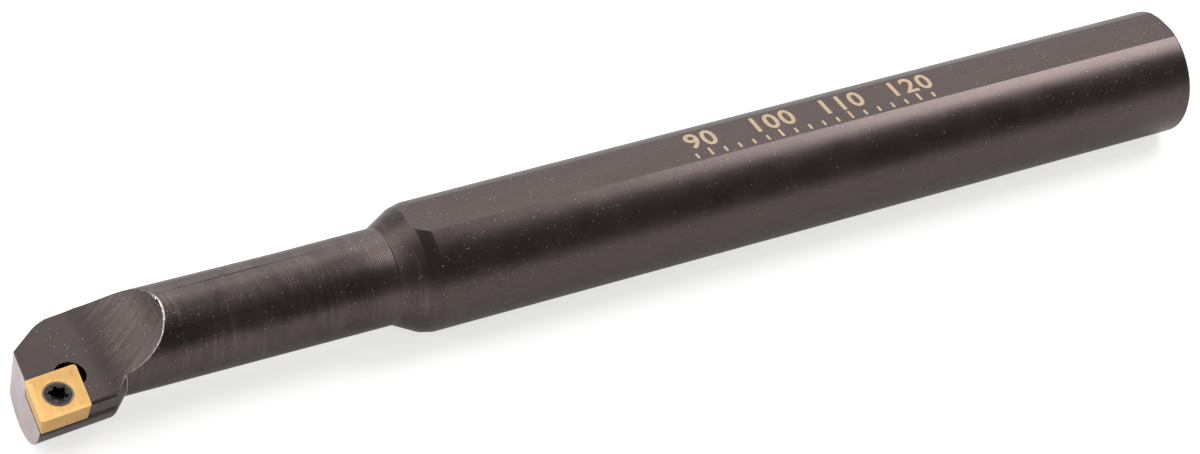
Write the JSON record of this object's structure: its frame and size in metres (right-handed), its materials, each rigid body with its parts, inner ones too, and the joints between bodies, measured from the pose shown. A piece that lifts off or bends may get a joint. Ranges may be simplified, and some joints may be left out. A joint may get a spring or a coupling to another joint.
{
  "type": "boring bar",
  "caption": "Steel boring bar: a round shank with clamping flats, a slimmer neck and an offset head that holds a screwed-on rhombic carbide insert.",
  "frame": {"origin": "centre of the shank's rear end face, on the shank's axis", "axes": "+X along the shank's axis towards its rear end, so the cutting head is at -X; +Z out of the upper clamping flat; the insert cuts towards -Y at centre height"},
  "size_m": [0.1587, 0.0169, 0.0148],
  "materials": {
    "bar_steel": "dark oxide, satin",
    "coated_carbide": "gold coating, satin",
    "screw_steel": "black oxide"
  },
  "bodies": {
    "root": {"steel_bar": "bar_steel", "cutting_insert": "coated_carbide", "insert_screw": "screw_steel"}
  },
  "joints": []
}
